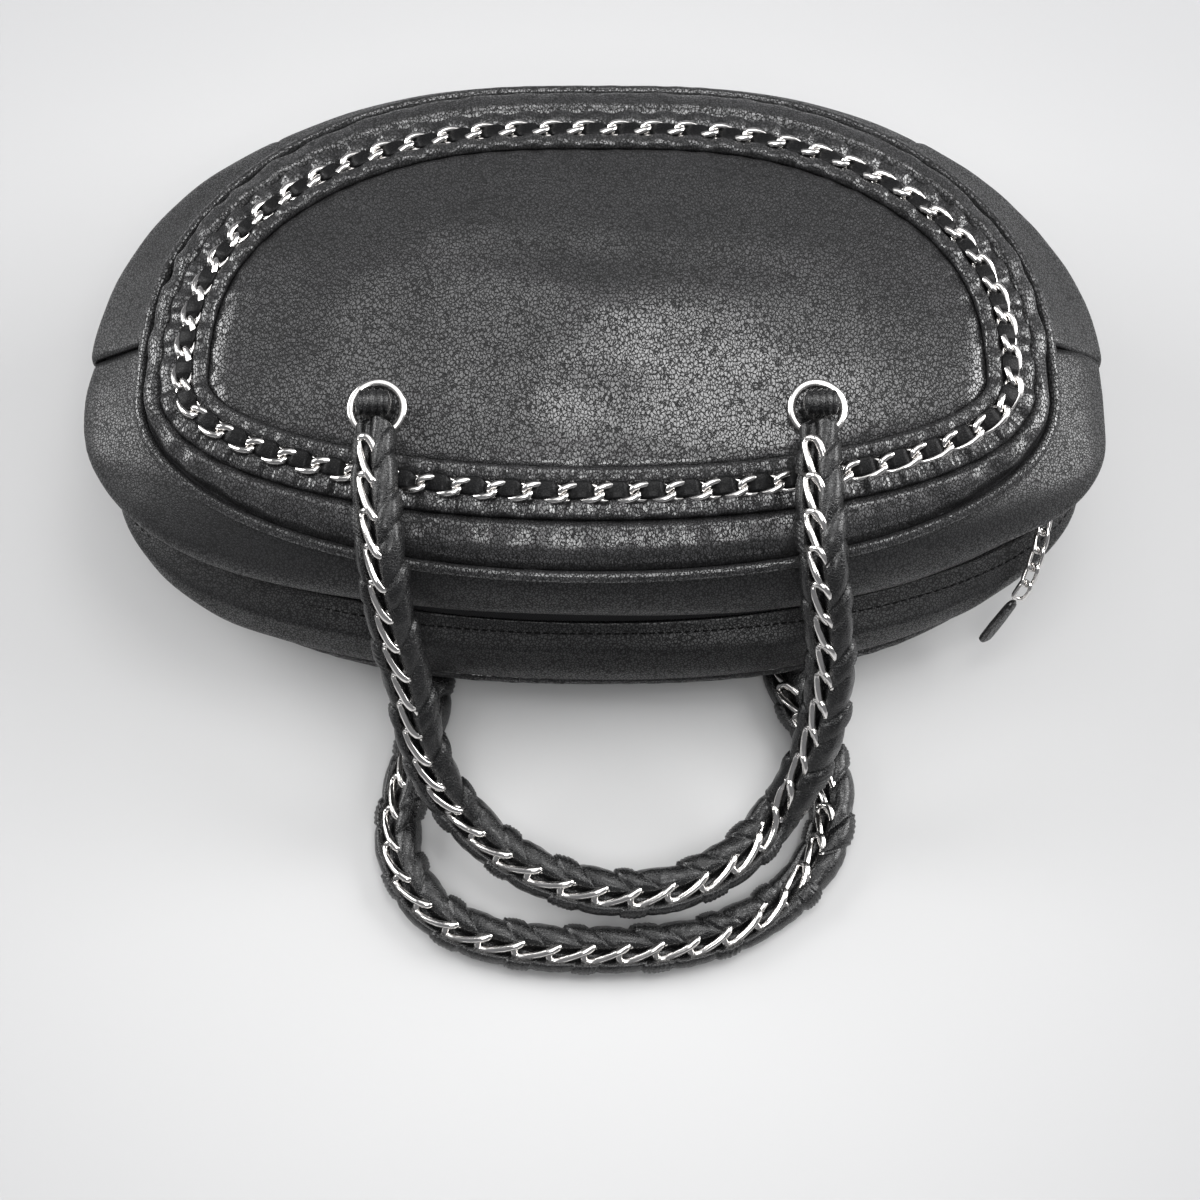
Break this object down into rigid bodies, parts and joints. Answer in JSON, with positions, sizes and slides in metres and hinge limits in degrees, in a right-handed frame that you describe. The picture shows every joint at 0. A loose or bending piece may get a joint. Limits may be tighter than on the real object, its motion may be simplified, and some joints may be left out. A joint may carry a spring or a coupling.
{
  "type": "bowler bag",
  "caption": "Oval zip-top leather bowler bag lying on its back, its front panel and two looped handles trimmed with laced curb chain.",
  "frame": {"origin": "middle of the flat of the back panel that the bag lies on", "axes": "+Z out of the front panel, +X along the width towards the end where the zip's slider rests, -Y out of the zipped top edge"},
  "size_m": [0.392, 0.3473, 0.1348],
  "materials": {
    "black_leather": "pebbled, semi-gloss",
    "bright_nickel": "polished",
    "black_lining": "matte twill",
    "zip_tape": "matte",
    "base_board": "matte"
  },
  "bodies": {
    "bag_body": {"front_panel": "black_leather", "front_band": "black_leather", "front_lacing_base": "black_leather", "front_rolled_strip": "black_leather", "front_piping": "black_leather", "back_piping": "black_leather", "front_top_gusset": "black_leather", "back_top_gusset": "black_leather", "left_side_gusset": "black_leather", "right_side_gusset": "black_leather", "base_panel": "black_leather", "back_panel": "black_leather", "front_left_handle_anchor": "black_leather", "front_right_handle_anchor": "black_leather", "back_left_handle_anchor": "black_leather", "back_right_handle_anchor": "black_leather", "left_zip_end_tab": "black_leather", "right_zip_end_tab": "black_leather", "front_lacing_chain": "bright_nickel", "front_left_eyelet": "bright_nickel", "front_right_eyelet": "bright_nickel", "back_left_eyelet": "bright_nickel", "back_right_eyelet": "bright_nickel", "front_zip_teeth": "bright_nickel", "back_zip_teeth": "bright_nickel", "base_foot_1": "bright_nickel", "base_foot_2": "bright_nickel", "base_foot_3": "bright_nickel", "base_foot_4": "bright_nickel", "front_lining": "black_lining", "back_lining": "black_lining", "inner_pocket": "black_lining", "front_zip_tape": "zip_tape", "back_zip_tape": "zip_tape", "base_board": "base_board"},
    "front_handle": {"front_handle_leather": "black_leather", "front_handle_chain": "bright_nickel"},
    "back_handle": {"back_handle_leather": "black_leather", "back_handle_chain": "bright_nickel"},
    "zip_slide": {"zip_slider": "bright_nickel"},
    "zip_pull": {"zip_pull_chain": "bright_nickel", "zip_pull_tab": "black_leather"}
  },
  "joints": [
    {"name": "front_handle_swing", "type": "hinge", "parent": "bag_body", "child": "front_handle", "pos_m": [0, -0.06546, 0.1294], "axis": [-1, 0, 0], "range_deg": [0, 150]},
    {"name": "back_handle_swing", "type": "hinge", "parent": "bag_body", "child": "back_handle", "pos_m": [0, -0.06385, 0.00801], "axis": [1, 0, 0], "range_deg": [0, 150]},
    {"name": "zip_travel", "type": "hinge", "parent": "bag_body", "child": "zip_slide", "pos_m": [0, 0.22275, 0.05696], "axis": [0, 0, -1], "range_deg": [0, 60]},
    {"name": "zip_pull_lift", "type": "hinge", "parent": "zip_slide", "child": "zip_pull", "pos_m": [0.17218, -0.07509, 0.05696], "axis": [-0.8658, -0.5005, 0], "range_deg": [0, 40]}
  ]
}
